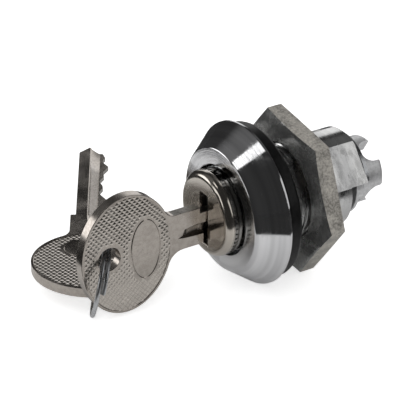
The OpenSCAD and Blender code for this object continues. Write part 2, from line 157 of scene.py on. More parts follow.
def extrude(x: float, y: float, z: float) -> None:
    """Extrude what is selected by a distance in millimetres."""
    bpy.ops.mesh.extrude_region_move(TRANSFORM_OT_translate={"value": mm(x, y, z)})


def named(name: str) -> Piece:
    """Name the active object and its mesh, and return it."""
    piece = bpy.context.active_object
    piece.name = name
    piece.data.name = name
    return piece


def settle(piece: Piece) -> Piece:
    """Move a piece's place and turn into its mesh."""
    pick(piece)
    bpy.ops.object.transform_apply(location=True, rotation=True, scale=True)
    return piece


def moved(piece: Piece, matrix: Matrix) -> Piece:
    """Move a piece's mesh by a matrix and keep its object at the origin."""
    piece.matrix_world = matrix
    return settle(piece)


def copied(piece: Piece, name: str) -> Piece:
    """Return a copy of a piece with a mesh of its own."""
    pick(piece)
    bpy.ops.object.duplicate()
    return named(name)


def from_node(node: Piece, name: str) -> Piece:
    """Copy a CAD node's shape into a new piece with merged, cleaned faces.

    Args:
        node: The CAD node's object.
        name: The new piece's name.

    Returns:
        The new piece.
    """
    piece = bpy.data.objects.new(name, node.data.copy())
    piece.data.materials.clear()
    bpy.context.scene.collection.objects.link(piece)
    pick(piece)
    bpy.ops.mesh.customdata_custom_splitnormals_clear()
    with editing(piece):
        bpy.ops.mesh.remove_doubles(threshold=2 * WELD)
        bpy.ops.mesh.dissolve_limited(angle_limit=math.radians(0.4))
    return piece


def modified(piece: Piece, kind: str, **settings: object) -> Piece:
    """Add a modifier with its settings and apply it."""
    pick(piece)
    bpy.ops.object.modifier_add(type=kind)
    modifier = piece.modifiers[-1]
    for key, value in settings.items():
        setattr(modifier, key, value)
    bpy.ops.object.modifier_apply(modifier=modifier.name)
    return piece


def rounded(piece: Piece, width: float, angle: float, steps: int = 2) -> Piece:
    """Round a piece's sharp edges.

    Args:
        piece: The piece.
        width: Width of the rounding in millimetres.
        angle: Edges sharper than this many degrees are rounded.
        steps: Number of segments across it.

    Returns:
        The same piece.
    """
    return modified(
        piece, "BEVEL", width=width * MM, segments=steps, limit_method="ANGLE",
        angle_limit=math.radians(angle), miter_outer="MITER_ARC", harden_normals=False,
    )


def closed(piece: Piece, fill: bool = True) -> Piece:
    """Merge a swept piece's seams, fill its open ends and turn its faces outward.

    Args:
        piece: The piece.
        fill: Whether its open ends are filled.

    Returns:
        The same piece.
    """
    with editing(piece):
        bpy.ops.mesh.remove_doubles(threshold=WELD)
        if fill:
            bpy.ops.mesh.fill_holes(sides=0)
        bpy.ops.mesh.normals_make_consistent(inside=False)
    return piece


def combined(piece: Piece, other: Piece, how: Cut) -> Piece:
    """Combine a piece with another solid, which is used up."""
    modified(piece, "BOOLEAN", operation=how.value, object=other, solver="EXACT")
    bpy.data.objects.remove(other)
    return piece


def joined(piece: Piece, other: Piece) -> Piece:
    """Join another piece into the first one."""
    pick(piece)
    other.select_set(True)
    bpy.ops.object.join()
    return piece


def smooth(piece: Piece, angle: float) -> Piece:
    """Shade a piece smooth, with creases at edges sharper than an angle."""
    pick(piece)
    bpy.ops.object.shade_smooth_by_angle(angle=math.radians(angle))
    return modified(piece, "WEIGHTED_NORMAL", keep_sharp=True)


def chain(name: str, points: Sequence[Point]) -> Piece:
    """Draw a run of edges through points by extruding one vertex.

    Args:
        name: The new piece's name.
        points: The points in millimetres.

    Returns:
        The new piece, with no faces yet.
    """
    deselect()
    bpy.ops.mesh.primitive_plane_add(size=MM, location=mm(*points[0]))
    piece = settle(named(name))
    with editing(piece):
        bpy.ops.mesh.merge(type="CENTER")
        for here, there in zip(points, points[1:]):
            bpy.ops.mesh.extrude_vertices_move(
                TRANSFORM_OT_translate={"value": mm(*there) - mm(*here)}
            )
    return piece


def turned(name: str, profile: Sequence[Pair], steps: int = 160, loop: bool = True) -> Piece:
    """Turn a profile about the lock's axis.

    Args:
        name: The new piece's name.
        profile: Points as x and radius, in millimetres.
        steps: Number of facets round the axis.
        loop: Whether the profile's end joins its start.

    Returns:
        The new piece.
    """
    run = [*profile, profile[0]] if loop else profile
    piece = chain(name, [(x, 0.0, r) for x, r in run])
    with editing(piece):
        bpy.ops.mesh.spin(
            steps=steps, angle=2 * math.pi, center=(0, 0, 0), axis=(1, 0, 0),
            use_auto_merge=True,
        )
    return closed(piece, fill=False)


def block(name: str, low: Point, high: Point) -> Piece:
    """Return a plain box between two corners in millimetres, to cut with."""
    deselect()
    middle = (mm(*low) + mm(*high)) / 2
    size = mm(*high) - mm(*low)
    bpy.ops.mesh.primitive_cube_add(size=1, location=middle, scale=size)
    return settle(named(name))


class Tree:
    """A short way to find, add and link shader nodes."""

    def __init__(self, tree: bpy.types.NodeTree) -> None:
        """Keep the tree to build in."""
        self.tree = tree

    def find(self, kind: str) -> Node:
        """Return the node of one type that the tree starts with."""
        return next(node for node in self.tree.nodes if node.type == kind)

    def link(self, source: Socket, target: Socket) -> None:
        """Link an output to an input."""
        self.tree.links.new(source, target)

    def add(
        self, kind: str, inputs: dict[str | int, object] | None = None, **settings: object
    ) -> Node:
        """Add a node.

        Args:
            kind: The node's type, without its ShaderNode prefix.
            inputs: Values or output sockets for its inputs.
            **settings: Properties of the node.

        Returns:
            The new node.
        """
        node = self.tree.nodes.new("ShaderNode" + kind)
        for key, value in settings.items():
            setattr(node, key, value)
        for key, value in (inputs or {}).items():
            if isinstance(value, Socket):
                self.link(value, node.inputs[key])
            else:
                node.inputs[key].default_value = value
        return node

    def math(self, operation: str, a: object, b: object = 0.0) -> Socket:
        """Add a math node and return its output."""
        return self.add("Math", {0: a, 1: b}, operation=operation).outputs[0]

    def ramp(
        self, value: Socket, low: float, high: float, to_low: float = 0.0, to_high: float = 1.0
    ) -> Socket:
        """Map a value smoothly from one range to another and return the output."""
        inputs = {"Value": value, "From Min": low, "From Max": high}
        inputs |= {"To Min": to_low, "To Max": to_high}
        return self.add("MapRange", inputs, interpolation_type="SMOOTHSTEP").outputs[0]

    def mix(self, factor: object, a: object, b: object) -> Socket:
        """Mix two colours and return the result."""
        return self.add("Mix", {0: factor, 6: a, 7: b}, data_type="RGBA").outputs[2]

    def weighed(self, first: Socket, second: Socket, share: float) -> Socket:
        """Add two masks, of which the first has a share of the whole."""
        parts = (self.math("MULTIPLY", first, share), self.math("MULTIPLY", second, 1 - share))
        return self.math("ADD", *parts)


@dataclass
class Effects:
    """Node groups that several finishes share."""

    groups: dict[str, bpy.types.ShaderNodeTree] = field(default_factory=dict)

    def _open(self, name: str, inputs: dict[str, float]) -> tuple[Tree, Node, Socket]:
        """Start a node group.

        Args:
            name: The group's name.
            inputs: Names and first values of its float inputs.

        Returns:
            The group's tree, its input node, and the place on the piece.
        """
        group = bpy.data.node_groups.new(name, "ShaderNodeTree")
        for key, value in inputs.items():
            socket = group.interface.new_socket(
                name=key, in_out="INPUT", socket_type="NodeSocketFloat"
            )
            socket.default_value = value
        self.groups[name] = group
        tree = Tree(group)
        place = tree.add("TexCoord").outputs["Object"]
        return tree, group.nodes.new("NodeGroupInput"), place

    @staticmethod
    def _close(tree: Tree, outputs: dict[str, Socket]) -> None:
        """Finish a node group with float outputs."""
        for key in outputs:
            tree.tree.interface.new_socket(
                name=key, in_out="OUTPUT", socket_type="NodeSocketFloat"
            )
        end = tree.tree.nodes.new("NodeGroupOutput")
        for key, source in outputs.items():
            tree.link(source, end.inputs[key])

    def turning_marks(self) -> None:
        """Build the fine rings that a lathe or a polishing wheel leaves round the axis."""
        tree, start, place = self._open("turning_marks", {"Lines": 6000.0, "Swirl": 1.5})
        x, y, z = tree.add("SeparateXYZ", {0: place}).outputs
        squares = [tree.math("MULTIPLY", side, side) for side in (y, z)]
        radius = tree.math("SQRT", tree.math("ADD", *squares))
        angle = tree.math("MULTIPLY", tree.math("ARCTAN2", y, z), start.outputs["Swirl"])
        along = tree.math("MULTIPLY", x, start.outputs["Lines"])
        out = tree.math("MULTIPLY", radius, start.outputs["Lines"])
        point = tree.add("CombineXYZ", {0: along, 1: out, 2: angle}).outputs[0]
        fine = tree.add(
            "TexNoise", {"Vector": point, "Scale": 1.0, "Detail": 3.0, "Roughness": 0.65}
        )
        broad = tree.add("TexNoise", {"Vector": point, "Scale": 0.13, "Detail": 2.0})
        self._close(tree, {"Lines": fine.outputs[0], "Bands": broad.outputs[0]})

    def cast_grain(self) -> None:
        """Build the coarse grain of a rough casting or a blasted face."""
        tree, start, place = self._open("cast_grain", {"Grain": 3000.0, "Patches": 300.0})
        scale = {"Vector": place, "Scale": start.outputs["Grain"]}
        grain = tree.add("TexNoise", {**scale, "Detail": 4.0, "Roughness": 0.7}).outputs[0]
        cells = tree.add("TexVoronoi", scale, feature="SMOOTH_F1").outputs["Distance"]
        patches = tree.add(
            "TexNoise", {"Vector": place, "Scale": start.outputs["Patches"], "Detail": 3.0}
        ).outputs[0]
        height = tree.math("ADD", grain, tree.math("MULTIPLY", cells, 0.5))
        self._close(tree, {"Grain": grain, "Patches": patches, "Height": height})

    def smudges(self) -> None:
        """Build faint marks of handling, as broad as a finger tip."""
        tree, start, place = self._open("smudges", {"Size": 120.0})
        warp = {"Vector": place, "Scale": start.outputs["Size"], "Detail": 4.0, "Distortion": 0.8}
        self._close(tree, {"Mask": tree.ramp(tree.add("TexNoise", warp).outputs[0], 0.42, 0.66)})

    def build(self) -> Effects:
        """Build every group and return self."""
        self.turning_marks()
        self.cast_grain()
        self.smudges()
        return self


@dataclass(frozen=True)
class Finish:
    """A metal or rubber finish, with its colour and how it varies over the surface."""

    name: str
    dark: Point
    light: Point
    gloss: Pair
    metallic: float = 1.0

    def start(self) -> tuple[bpy.types.Material, Tree, Node]:
        """Make the material and return it with its tree and its Principled shader."""
        material = bpy.data.materials.new(self.name)
        material.use_nodes = True
        tree = Tree(material.node_tree)
        shader = tree.find("BSDF_PRINCIPLED")
        shader.inputs["Metallic"].default_value = self.metallic
        shader.inputs["Specular IOR Level"].default_value = 0.5 if self.metallic else 0.2
        return material, tree, shader

    def dress(
        self, tree: Tree, shader: Node, tone: Socket, rough: Socket, height: Socket, depth: float
    ) -> None:
        """Link colour, roughness and relief to the shader.

        Args:
            tree: The material's tree.
            shader: Its Principled shader.
            tone: Mask from the dark to the light colour.
            rough: Mask from the low to the high roughness.
            height: The relief's height, from 0 to 1.
            depth: The relief's depth in millimetres.
        """
        colour = tree.mix(tone, (*self.dark, 1), (*self.light, 1))
        bump = tree.add("Bump", {"Height": height, "Strength": 1.0, "Distance": depth * MM})
        tree.link(colour, shader.inputs["Base Color"])
        tree.link(tree.ramp(rough, 0.3, 0.7, *self.gloss), shader.inputs["Roughness"])
        tree.link(bump.outputs[0], shader.inputs["Normal"])


@dataclass(frozen=True)
class TurnedMetal(Finish):
    """Polished metal with fine rings round the lock's axis."""

    lines: float = 4000.0
    depth: float = 0.01

    def build(self, effects: Effects) -> bpy.types.Material:
        """Return the material."""
        material, tree, shader = self.start()
        marks = tree.add("Group", node_tree=effects.groups["turning_marks"])
        marks.inputs["Lines"].default_value = self.lines
        smudge = tree.add("Group", node_tree=effects.groups["smudges"]).outputs["Mask"]
        tone = tree.ramp(marks.outputs["Bands"], 0.3, 0.7)
        rough = tree.weighed(marks.outputs["Lines"], smudge, 0.7)
        self.dress(tree, shader, tone, rough, marks.outputs["Lines"], self.depth)
        return material


@dataclass(frozen=True)
class CastMetal(Finish):
    """Plated or bare casting with a visible grain."""

    grain: float = 1500.0
    patches: float = 300.0
    depth: float = 0.01

    def build(self, effects: Effects) -> bpy.types.Material:
        """Return the material."""
        material, tree, shader = self.start()
        cast = tree.add("Group", node_tree=effects.groups["cast_grain"])
        cast.inputs["Grain"].default_value = self.grain
        cast.inputs["Patches"].default_value = self.patches
        speck, patch = (tree.ramp(cast.outputs[key], 0.35, 0.65) for key in ("Grain", "Patches"))
        tone = tree.weighed(speck, patch, 0.6)
        self.dress(tree, shader, tone, cast.outputs["Patches"], cast.outputs["Height"], self.depth)
        return material


FINISHES = (
    TurnedMetal("polished_chrome", (0.58, 0.58, 0.59), (0.8, 0.8, 0.81), (0.06, 0.24),
                lines=4200.0, depth=0.02),
    TurnedMetal("barrel_chrome", (0.5, 0.5, 0.5), (0.74, 0.74, 0.73), (0.14, 0.34),
                lines=2600.0, depth=0.016),
    TurnedMetal("cap_nickel", (0.5, 0.46, 0.41), (0.66, 0.62, 0.56), (0.14, 0.3),
                lines=5200.0, depth=0.004),
    TurnedMetal("cylinder_nickel", (0.35, 0.34, 0.32), (0.55, 0.54, 0.52), (0.2, 0.4)),
    TurnedMetal("plug_nickel", (0.16, 0.15, 0.14), (0.26, 0.25, 0.23), (0.3, 0.5)),
    CastMetal("nut_nickel", (0.16, 0.152, 0.138), (0.56, 0.53, 0.48), (0.4, 0.6),
              metallic=0.4, grain=2400.0, patches=420.0, depth=0.06),
    CastMetal("nut_face", (0.3, 0.3, 0.295), (0.62, 0.62, 0.61), (0.12, 0.3),
              metallic=0.8, grain=2600.0, patches=380.0, depth=0.012),
    CastMetal("driver_zinc", (0.42, 0.42, 0.425), (0.66, 0.66, 0.665), (0.3, 0.45),
              metallic=0.6, grain=1800.0, patches=260.0),
    CastMetal("key_nickel", (0.4, 0.365, 0.33), (0.54, 0.495, 0.45), (0.14, 0.28),
              patches=200.0, depth=0.003),
    # Lighter copy of the key's nickel: a painted highlight on the knurled studs
    CastMetal("key_studs_highlit", (0.56, 0.52, 0.475), (0.76, 0.71, 0.65), (0.14, 0.3),
              grain=2500.0, depth=0.003),
    # Rough blanked edge of the neck and blade; its darker colour is painted shade near the lock
    CastMetal("key_edge_rough_shaded", (0.2, 0.19, 0.175), (0.46, 0.44, 0.41), (0.28, 0.5),
              grain=2600.0, patches=500.0, depth=0.03),
    CastMetal("wire_steel", (0.4, 0.41, 0.42), (0.58, 0.59, 0.6), (0.2, 0.34),
              grain=1800.0, patches=400.0, depth=0.004),
    CastMetal("wafer_brass", (0.48, 0.36, 0.16), (0.7, 0.55, 0.28), (0.25, 0.4), depth=0.004),
    CastMetal("gasket_rubber", (0.002, 0.002, 0.002), (0.009, 0.009, 0.009), (0.3, 0.5),
              metallic=0.0),
)


@dataclass
class Finishes:
    """Every finish on the lock."""

    effects: Effects
    made: dict[str, bpy.types.Material] = field(default_factory=dict)

    def build(self) -> Finishes:
        """Make the materials and return self."""
        for finish in FINISHES:
            self.made[finish.name] = finish.build(self.effects)
        return self

    def put(self, piece: Piece, name: str) -> None:
        """Give a piece one finish all over."""
        piece.data.materials.clear()
        piece.data.materials.append(self.made[name])

    def put_on_faces(self, piece: Piece, name: str, wanted: FaceTest) -> None:
        """Give the faces of a dressed piece that pass a test a second finish.

        Args:
            piece: The piece, which has one finish.
            name: The second finish's name.
            wanted: The test on each face.
        """
        piece.data.materials.append(self.made[name])
        with editing(piece, select=False):
            select_faces(piece, wanted)
            piece.active_material_index = 1
            bpy.ops.object.material_slot_assign()


@dataclass
class Housing:
    """Conical collar and threaded barrel, made in one casting."""

    face_x: float = -5.6
    rim_r: float = 15.3
    face_r: float = 11.6
    cone_len: float = 5.1
    mouth_r: float = 8.45
    bore_r: float = 7.4
    rear_bore_r: float = 6.15
    lip_t: float = 0.8
    crest_r: float = 8.95
    root_r: float = 8.55
    barrel_len: float = 21.1
    thread_from: float = 2.95
    thread_to: float = 13.8
    pitch: float = 0.8
    flat_dist: float = 7.93
    flat_angle: float = 51.0
    notch_x: float = 17.4
    notch_from: float = 78.0
    notch_width: float = 120.0

    def profile(self) -> list[Pair]:
        """Return the turned section of the casting as x and radius."""
        front, face, rim = self.face_x, self.face_r, self.rim_r
        crest, end, lip = self.crest_r, self.barrel_len, self.barrel_len - self.lip_t
        slope = (rim - face) / self.cone_len
        return [
            (front, self.mouth_r + 0.15), (front, face - 0.18), (front + 0.06, face - 0.04),
            (front + 0.22, face + 0.22 * slope), (-0.55, rim - 0.04), (-0.42, rim), (-0.1, rim),
            (0.0, rim - 0.1), (0.0, crest), (self.thread_from, crest),
            (self.thread_from + 0.25, self.root_r), (self.thread_to, self.root_r),
            (self.thread_to + 0.3, crest), (end - 0.2, crest), (end, crest - 0.2),
            (end, self.rear_bore_r), (lip, self.rear_bore_r), (lip, self.bore_r),
            (-0.3, self.bore_r), (-0.3, self.mouth_r), (front + 0.15, self.mouth_r),
        ]

    def flat_cutter(self) -> Piece:
        """Return the block that planes the barrel's flat."""
        low, high = (0.001, -9.5, self.flat_dist), (self.barrel_len + 2, 9.5, 14)
        return moved(block("flat_cutter", low, high), turn(self.flat_angle, "X"))

    def notch_cutter(self) -> Piece:
        """Return the sector that cuts the stop notch in the barrel's end."""
        low, high = self.rear_bore_r - 1, self.crest_r + 1
        start, end = self.notch_x, self.barrel_len + 1
        corners = [(start, 0, low), (end, 0, low), (end, 0, high), (start, 0, high)]
        piece = chain("notch_cutter", corners)
        with editing(piece):
            bpy.ops.mesh.edge_face_add()
            bpy.ops.mesh.spin(
                steps=40, angle=math.radians(self.notch_width), center=(0, 0, 0), axis=(1, 0, 0)
            )
        # The sweep runs back from the notch's far end
        far_end = turn(self.notch_from + self.notch_width, "X")
        return moved(closed(piece, fill=False), far_end)

    def thread(self) -> Piece:
        """Return the helical ridge of the thread, trimmed square at both ends."""
        root, crest = self.pitch * 0.42, self.pitch * 0.1
        start, under = self.thread_from - self.pitch, self.root_r - 0.1
        section = (
            (-root, under), (-root, self.root_r), (-crest, self.crest_r), (crest, self.crest_r),
            (root, self.root_r), (root, under),
        )
        piece = chain("thread_ridge", [(start + x, 0, r) for x, r in section])
        with editing(piece):
            bpy.ops.mesh.edge_face_add()
        turns = math.ceil((self.thread_to - start) / self.pitch) + 1
        modified(
            piece, "SCREW", axis="X", angle=2 * math.pi, screw_offset=self.pitch * MM,
            iterations=turns, steps=96, render_steps=96, use_merge_vertices=True,
            use_normal_calculate=True,
        )
        closed(piece)
        first, last = self.thread_from + 0.1, self.thread_to + 0.1
        for low, high in ((start - 2, first), (last, self.thread_to + 3)):
            end = block("end_cutter", (low, -12, -12), (high, 12, 12))
            combined(piece, end, Cut.AWAY)
        return piece

    def build(self, finishes: Finishes) -> None:
        """Make the casting and put it in place of the CAD node.

        Args:
            finishes: The finishes to dress it with.
        """
        casting = turned("lock_housing", self.profile(), steps=192)
        thread = self.thread()
        for solid, finish in ((casting, "polished_chrome"), (thread, "barrel_chrome")):
            combined(solid, self.flat_cutter(), Cut.AWAY)
            combined(solid, self.notch_cutter(), Cut.AWAY)
            finishes.put(solid, finish)
        finishes.put_on_faces(
            casting, "barrel_chrome", lambda face: face.calc_center_median().x > 0.1 * MM
        )
        joined(casting, thread)
        smooth(casting, 30)
        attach(casting, "housing")
        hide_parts("housing")


@dataclass
class PanelFixings:
    """Nut and gasket that clamp the lock in the cart's panel."""

    nodes: dict[str, Piece]
    nut_x: float = 7.9
    nut_t: float = 3.5
    nut_af: float = 27.0
    nut_angle: float = 38.5
    front_flat_r: float = 12.9
    rear_flat_r: float = 13.4
    chamfer: float = 0.5
    bore_r: float = 9.1
    bore_edge: float = 0.3
    wear: float = 0.14

    def nut(self) -> Piece:
        """Return the hexagon nut with its faint corner chamfers."""
        end, corner = self.nut_x + self.nut_t, self.nut_af / 2 / math.cos(math.pi / 6)
        deselect()
        bpy.ops.mesh.primitive_cylinder_add(
            vertices=6, radius=corner * MM, depth=self.nut_t * MM,
            location=mm((self.nut_x + end) / 2, 0, 0), rotation=(0, math.radians(90), 0),
        )
        nut = settle(named("cast_nut"))
        top = max(nut.data.vertices, key=lambda v: v.co.z).co
        moved(nut, turn(self.nut_angle - math.degrees(math.atan2(-top.y, top.z)), "X"))
        open_r = self.bore_r + self.bore_edge
        cone = turned("nut_chamfer", [
            (self.nut_x, open_r), (self.nut_x, self.front_flat_r),
            (self.nut_x + self.chamfer, corner + 0.1), (end - 0.1, corner + 0.1),
            (end, self.rear_flat_r), (end, open_r),
            (end - self.bore_edge, self.bore_r), (self.nut_x + self.bore_edge, self.bore_r),
        ])
        return combined(nut, cone, Cut.COMMON)

    def build(self, finishes: Finishes) -> None:
        """Dress the gasket, and make the nut with worn edges and brighter faces."""
        finishes.put(self.nodes["panel_gasket"], "gasket_rubber")
        nut = smooth(rounded(self.nut(), self.wear, 25), 30)
        finishes.put(nut, "nut_nickel")
        finishes.put_on_faces(nut, "nut_face", lambda face: abs(face.normal.x) > 0.6)
        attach(nut, "housing")
        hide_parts("panel_nut")


@dataclass
class Cylinder:
    """Sliding cylinder with its face cap and the plug inside."""

    nodes: dict[str, Piece]
    cap_r: float = 8.05
    cap_x: float = -9.0
    cap_len: float = 1.6
    wall: float = 0.5
    roll: float = 1.3
    slot_half: float = 1.17
    slot_ends: Pair = (-5.9, 4.0)
    mouth_half: float = 1.5
    mouth_ends: Pair = (-6.2, 4.33)
    mouth_depth: float = 0.24
    mouth_taper: Pair = (0.75, 0.93)
    edge: float = 0.07

    def cap_profile(self) -> list[Pair]:
        """Return the section of the pressed cap, from its middle to its inner wall."""
        rim_r, inner_r = self.cap_r - self.roll, self.cap_r - self.wall
        end, inner_x = self.cap_x + self.cap_len, self.cap_x + self.wall
        arc = [
            (self.cap_x + self.roll * (1 - math.cos(a)), rim_r + self.roll * math.sin(a))
            for a in (math.radians(9 * k) for k in range(11))
        ]
        return [
            (self.cap_x, 0.0), *arc, (end, self.cap_r), (end, inner_r), (inner_x, inner_r),
            (inner_x, 0.0),
        ]

    def slot_mouth(self) -> Piece:
        """Return the wedge that breaks the slot's edges."""
        low, high = self.mouth_ends
        mouth = block(
            "slot_mouth", (self.cap_x - 0.1, -self.mouth_half, low),
            (self.cap_x + self.mouth_depth, self.mouth_half, high),
        )
        middle = mm(self.cap_x, 0, sum(self.slot_ends) / 2)
        with editing(mouth, select=False):
            select_faces(mouth, lambda face: face.normal.x > 0.9)
            bpy.ops.transform.resize(value=(1, *self.mouth_taper), center_override=middle)
        return mouth

    def cap(self, finishes: Finishes) -> None:
        """Make the cap with its key slot."""
        cap = turned("pressed_cap", self.cap_profile(), loop=False)
        low, high = self.slot_ends
        slot = block(
            "slot_cutter", (self.cap_x - 1, -self.slot_half, low),
            (self.cap_x + 3, self.slot_half, high),
        )
        combined(cap, slot, Cut.AWAY)
        combined(cap, self.slot_mouth(), Cut.AWAY)
        smooth(rounded(cap, self.edge, 50), 40)
        finishes.put(cap, "cap_nickel")
        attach(cap, "plug")
        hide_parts("face_cap")

    def spring(self, finishes: Finishes) -> None:
        """Make the return spring, squeezed between the cylinder and the housing."""
        spring = smooth(from_node(self.nodes["return_spring"], "coil_spring"), 50)
        finishes.put(spring, "wire_steel")
        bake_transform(spring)
        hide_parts("return_spring")

    def build(self, finishes: Finishes) -> None:
        """Make the cap and the spring, and dress the inner pieces."""
        self.cap(finishes)
        self.spring(finishes)
        finishes.put(self.nodes["cylinder_shell"], "cylinder_nickel")
        finishes.put(self.nodes["plug"], "plug_nickel")
        for name in ("wafer_springs", "plug_clip", "guide_pin"):
            finishes.put(self.nodes[name], "wire_steel")
        for name in ("latch_plate", *(f"wafer_{index}" for index in range(1, 6))):
            finishes.put(self.nodes[name], "wafer_brass")


@dataclass
class Driver:
    """Slotted dog at the rear, with its stop block and snap ring."""

    nodes: dict[str, Piece]
    edge: float = 0.14

    def build(self, finishes: Finishes) -> None:
        """Make the dog with softened edges and dress its neighbours."""
        dog = from_node(self.nodes["driver"], "cast_driver")
        smooth(rounded(dog, self.edge, 40), 35)
        finishes.put(dog, "driver_zinc")
        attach(dog, "driver")
        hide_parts("driver")
        finishes.put(self.nodes["stop_block"], "driver_zinc")
        finishes.put(self.nodes["driver_ring"], "wire_steel")


@dataclass
class KeySet:
    """Key in the lock, spare key, and the split ring that joins them."""

    nodes: dict[str, Piece]
    shoulder_x: float = -10.4
    bow_u: float = -15.2
    bow_v: float = -2.8
    bow_a: float = 9.4
    bow_b: float = 11.7
    hole_out: float = 3.7
    hole_r: float = 2.3
    hole_flare: float = 0.16
    half_t: float = 1.0
    rim: float = 0.55
    edge: float = 0.14
    # Edges beyond this u get the darker edge finish, which is painted shade
    painted_shade_from: float = -5.6
    field_depth: float = 0.1
    tray_h: float = 0.4
    neck_top: float = 2.2
    neck_low: float = -5.2
    fillets: Pair = (2.2, 3.2)
    tip_u: float = 24.0
    back_v: float = 1.2
    web_half: float = 0.4
    web_from: float = 0.7
    groove_depth: float = 0.7
    wheel_r: float = 16.0
    run_out: float = 22.0
    oval_u: float = 3.8
    oval_a: float = 2.95
    oval_b: float = 5.85
    oval_line: float = 0.13
    bare_gap: float = 0.55
    stud_pitch: float = 0.78
    stud_gap: float = 0.05
    stud_shape: Pair = (0.774, 1.09)
    stud_h: float = 0.08
    stud_base: float = 0.05
    ring_r: float = 6.675
    ring_from_hole: Point = (-0.07, 0.0, 0.85)
    ring_hang: Point = (-0.022, 0.355, -0.934)
    wire_r: float = 0.425
    ring_turns: float = 1.62
    ring_start: float = 97.0
    ring_pitch: float = 0.88
    ring_turn: float = 147.6
    ring_lean: float = 77.4
    spare_at: Point = (-27.151, 8.163, -11.031)
    spare_turn: float = 58.0
    spare_tip: float = -4.3

    def in_field(self, u: float, v: float) -> bool:
        """Tell whether a point, measured from the bow's centre, lies in the studded field."""
        edge = self.rim - 0.05
        if (u / (self.bow_a - edge)) ** 2 + (v / (self.bow_b - edge)) ** 2 > 1:
            return False
        if math.hypot(u + self.hole_out, v) < self.hole_r + 0.65:
            return False
        across, up = self.oval_a + self.bare_gap, self.oval_b + self.bare_gap
        return ((u - self.oval_u) / across) ** 2 + (v / up) ** 2 > 1

    def bow_edge(self, angle: float) -> Pair:
        """Return the point of the bow's outline at an angle in radians."""
        return self.bow_u + self.bow_a * math.cos(angle), self.bow_v + self.bow_b * math.sin(angle)

    def fillet(self, line_v: float, side: int, radius: float) -> tuple[list[Pair], float]:
        """Round the corner between the bow and one edge of the neck.

        Args:
            line_v: Height of the neck's edge.
            side: 1 for the upper edge, -1 for the lower one.
            radius: The fillet's radius.

        Returns:
            The fillet's points from the neck to the bow, and the bow's angle where they end.
        """
        centre_v = line_v + side * radius

        def nearest(u: float) -> Pair:
            """Return the distance from the fillet's centre to the bow, and the bow's angle."""
            angles = (side * math.radians(k / 4) for k in range(361))
            return min((math.dist(self.bow_edge(angle), (u, centre_v)), angle) for angle in angles)

        low, high = self.bow_u + 3, 2.0
        for _ in range(30):
            middle = (low + high) / 2
            low, high = (middle, high) if nearest(middle)[0] < radius else (low, middle)
        end = nearest(low)[1]
        touch_u, touch_v = self.bow_edge(end)
        last = math.radians(270 if side > 0 else 90)
        sweep = math.atan2(touch_v - centre_v, touch_u - low) % (2 * math.pi) - last
        arc = [
            (low + radius * math.cos(angle), centre_v + radius * math.sin(angle))
            for angle in (last + sweep * k / 8 for k in range(9))
        ]
        return arc, end

    def outline(self) -> list[Pair]:
        """Return the key's outline, with the shoulder at u = 0 and the tip at +u."""
        upper, start = self.fillet(self.neck_top, 1, self.fillets[0])
        lower, end = self.fillet(self.neck_low, -1, self.fillets[1])
        sweep = 2 * math.pi + end - start
        bow = [self.bow_edge(start + sweep * k / 110) for k in range(1, 110)]
        return [
            (self.tip_u, -0.8), (self.tip_u - 1.9, self.back_v), (0.0, self.back_v),
            (0.0, self.neck_top), *upper, *bow, *reversed(lower), (0.0, self.neck_low),
            (0.0, -5.0), *self.cuts(),
        ]

    @staticmethod
    def cuts() -> list[Pair]:
        """Return the blade's cut edge from the shoulder to the tip."""
        return [
            (5.0, -5.0), (8.0, -3.0), (8.8, -3.0), (10.2, -3.6), (11.0, -3.5), (12.0, -3.0),
            (12.8, -3.0), (14.2, -3.7), (15.8, -3.5), (17.7, -4.5), (19.3, -3.4), (20.2, -3.4),
            (21.0, -3.8), (21.8, -3.5), (22.3, -3.4), (22.7, -2.3),
        ]

    @staticmethod
    def section(name: str, points: Sequence[Point]) -> Piece:
        """Draw a flat face with its outline through points in millimetres."""
        piece = chain(name, [*points, points[0]])
        with editing(piece):
            bpy.ops.mesh.remove_doubles(threshold=WELD)
            bpy.ops.mesh.edge_face_add()
        return piece

    def plate(self, finishes: Finishes) -> Piece:
        """Make the key's blank, laid flat, with rougher edges on its neck and blade, darkened by
        painted shade.
        """
        piece = self.section("front_key", [(u, v, -self.half_t) for u, v in self.outline()])
        with editing(piece):
            extrude(0, 0, 2 * self.half_t)
        rounded(closed(piece), self.edge, 50, steps=3)
        finishes.put(piece, "key_nickel")

        def is_painted_shade_edge(face: bmesh.types.BMFace) -> bool:
            """Tell whether a face stands on edge, right of the bow, where painted shade darkens
            the edge.
            """
            return abs(face.normal.z) < 0.3 and face.calc_center_median().x > self.painted_shade_from * MM

        finishes.put_on_faces(piece, "key_edge_rough_shaded", is_painted_shade_edge)
        return piece

    def tray_cutter(self, side: int) -> Piece:
        """Return the oval block that sinks the bow's field on one side."""
        across, up = self.bow_a - self.rim, self.bow_b - self.rim
        deselect()
        bpy.ops.mesh.primitive_cone_add(
            vertices=110, radius1=MM, radius2=(1 + self.tray_h / across) * MM,
            depth=self.tray_h * MM, scale=(across, up, side),
            location=mm(
                self.bow_u, self.bow_v, side * (self.half_t - self.field_depth + self.tray_h / 2)
            ),
        )
        return closed(settle(named("tray_cutter")))

    def hole_cutter(self) -> Piece:
        """Return the pin that cuts the bow's hole with broken edges."""
        out, flat = self.half_t + 0.3, self.half_t - self.hole_flare
        wide = self.hole_r + self.hole_flare + 0.3
        pin = turned("hole_cutter", [
            (-out, 0.0), (-out, wide), (-flat, self.hole_r), (flat, self.hole_r), (out, wide),
            (out, 0.0),
        ], steps=64, loop=False)
        return moved(pin, shift(self.bow_u - self.hole_out, self.bow_v, 0) @ turn(-90, "Y"))

